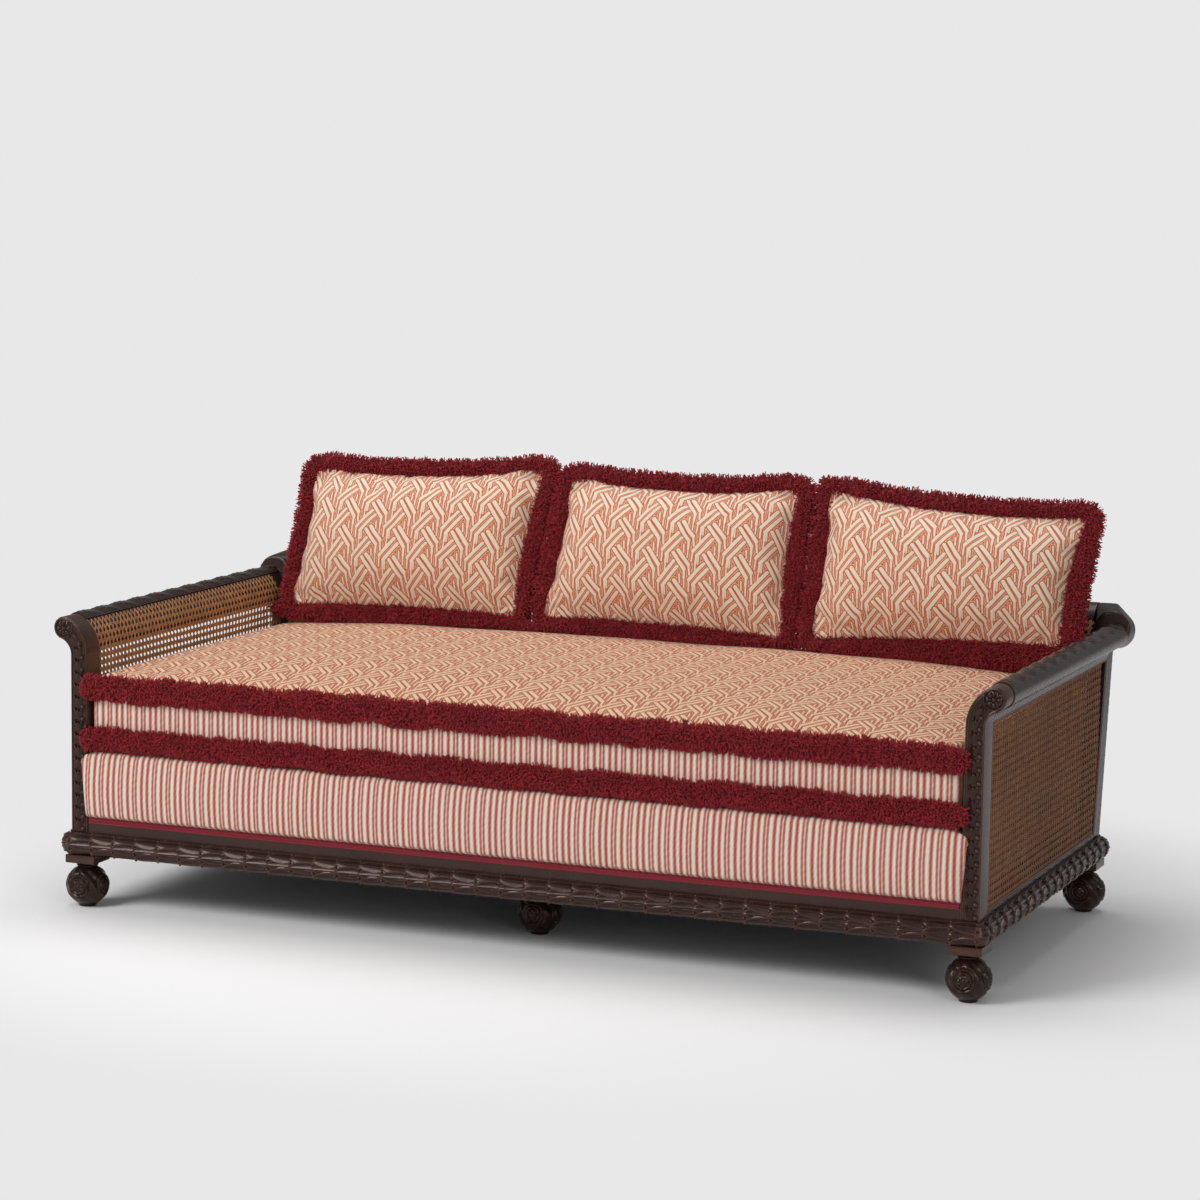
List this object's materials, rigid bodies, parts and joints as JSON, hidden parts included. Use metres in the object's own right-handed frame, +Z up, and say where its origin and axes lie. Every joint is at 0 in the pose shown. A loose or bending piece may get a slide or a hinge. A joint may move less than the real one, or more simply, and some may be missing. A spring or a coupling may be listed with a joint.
{
  "type": "sofa",
  "caption": "Cane-sided sofa on turned ball feet: carved dark frame, striped sprung base, loose fringed mattress seat and loose fringed back cushions that lift off.",
  "frame": {"origin": "on the floor under the middle of the sofa's overall box, cushions included", "axes": "+X along the sofa to the sitter's left hand (the picture's right), +Y towards the back, +Z up"},
  "size_m": [2.144, 1.0894, 0.9519],
  "materials": {
    "dark_wood": "semi-gloss dark stained hardwood with fine straight grain",
    "carved_wood": "semi-gloss dark stained hardwood, carved and waxed",
    "cane": "woven split cane, stained golden brown, soft sheen",
    "reed_spline": "stained reed, soft sheen",
    "dowel_wood": "plain beech",
    "crimson_fringe": "dense cut brush fringe of spun yarn",
    "crimson_braid": "flat woven braid",
    "striped_fabric": "heavy woven ticking stripe in cream and rust",
    "patterned_fabric": "heavy woven lattice pattern in cream on terracotta",
    "hessian": "coarse jute",
    "black_cloth": "thin black lining",
    "filling": "calico over filling",
    "steel": "plain steel"
  },
  "bodies": {
    "frame": {"front_base_rail": "dark_wood", "rear_base_rail": "dark_wood", "left_base_rail": "dark_wood", "right_base_rail": "dark_wood", "centre_bearer": "dark_wood", "front_moulding": "carved_wood", "rear_moulding": "carved_wood", "left_moulding": "carved_wood", "right_moulding": "carved_wood", "corner_blocks": "dark_wood", "corner_screws": "steel", "front_left_foot": "carved_wood", "front_middle_foot": "carved_wood", "front_right_foot": "carved_wood", "rear_left_foot": "carved_wood", "rear_middle_foot": "carved_wood", "rear_right_foot": "carved_wood", "foot_bolts": "steel", "fascia_rail": "dark_wood", "front_left_post": "dark_wood", "front_right_post": "dark_wood", "rear_left_post": "dark_wood", "rear_right_post": "dark_wood", "left_arm_rail": "dark_wood", "right_arm_rail": "dark_wood", "left_arm_foot_rail": "dark_wood", "right_arm_foot_rail": "dark_wood", "left_inner_cane": "cane", "right_inner_cane": "cane", "left_outer_cane": "cane", "right_outer_cane": "cane", "arm_cane_splines": "reed_spline", "back_top_rail": "dark_wood", "back_foot_rail": "dark_wood", "back_centre_stile": "dark_wood", "back_inner_cane": "cane", "back_outer_cane": "cane", "back_cane_splines": "reed_spline", "frame_dowels": "dowel_wood", "webbing": "hessian", "coil_springs": "steel", "spring_hessian": "hessian", "dust_cloth": "black_cloth", "sprung_base_pad": "filling", "sprung_base_cover": "striped_fabric", "fascia_braid": "crimson_braid"},
    "seat_cushion": {"mattress_core": "filling", "mattress_case": "patterned_fabric", "upper_mattress_fringe": "crimson_fringe", "lower_mattress_fringe": "crimson_fringe"},
    "left_back_cushion": {"left_cushion_pad": "filling", "left_cushion_case": "patterned_fabric", "left_cushion_fringe": "crimson_fringe"},
    "middle_back_cushion": {"middle_cushion_pad": "filling", "middle_cushion_case": "patterned_fabric", "middle_cushion_fringe": "crimson_fringe"},
    "right_back_cushion": {"right_cushion_pad": "filling", "right_cushion_case": "patterned_fabric", "right_cushion_fringe": "crimson_fringe"}
  },
  "joints": [
    {"name": "seat_cushion_lift", "type": "slide", "parent": "frame", "child": "seat_cushion", "axis": [0, 0, 1], "range_m": [0, 0.36]},
    {"name": "left_cushion_lift", "type": "slide", "parent": "seat_cushion", "child": "left_back_cushion", "axis": [0, 0, 1], "range_m": [0, 0.45]},
    {"name": "middle_cushion_lift", "type": "slide", "parent": "seat_cushion", "child": "middle_back_cushion", "axis": [0, 0, 1], "range_m": [0, 0.45]},
    {"name": "right_cushion_lift", "type": "slide", "parent": "seat_cushion", "child": "right_back_cushion", "axis": [0, 0, 1], "range_m": [0, 0.45]}
  ]
}
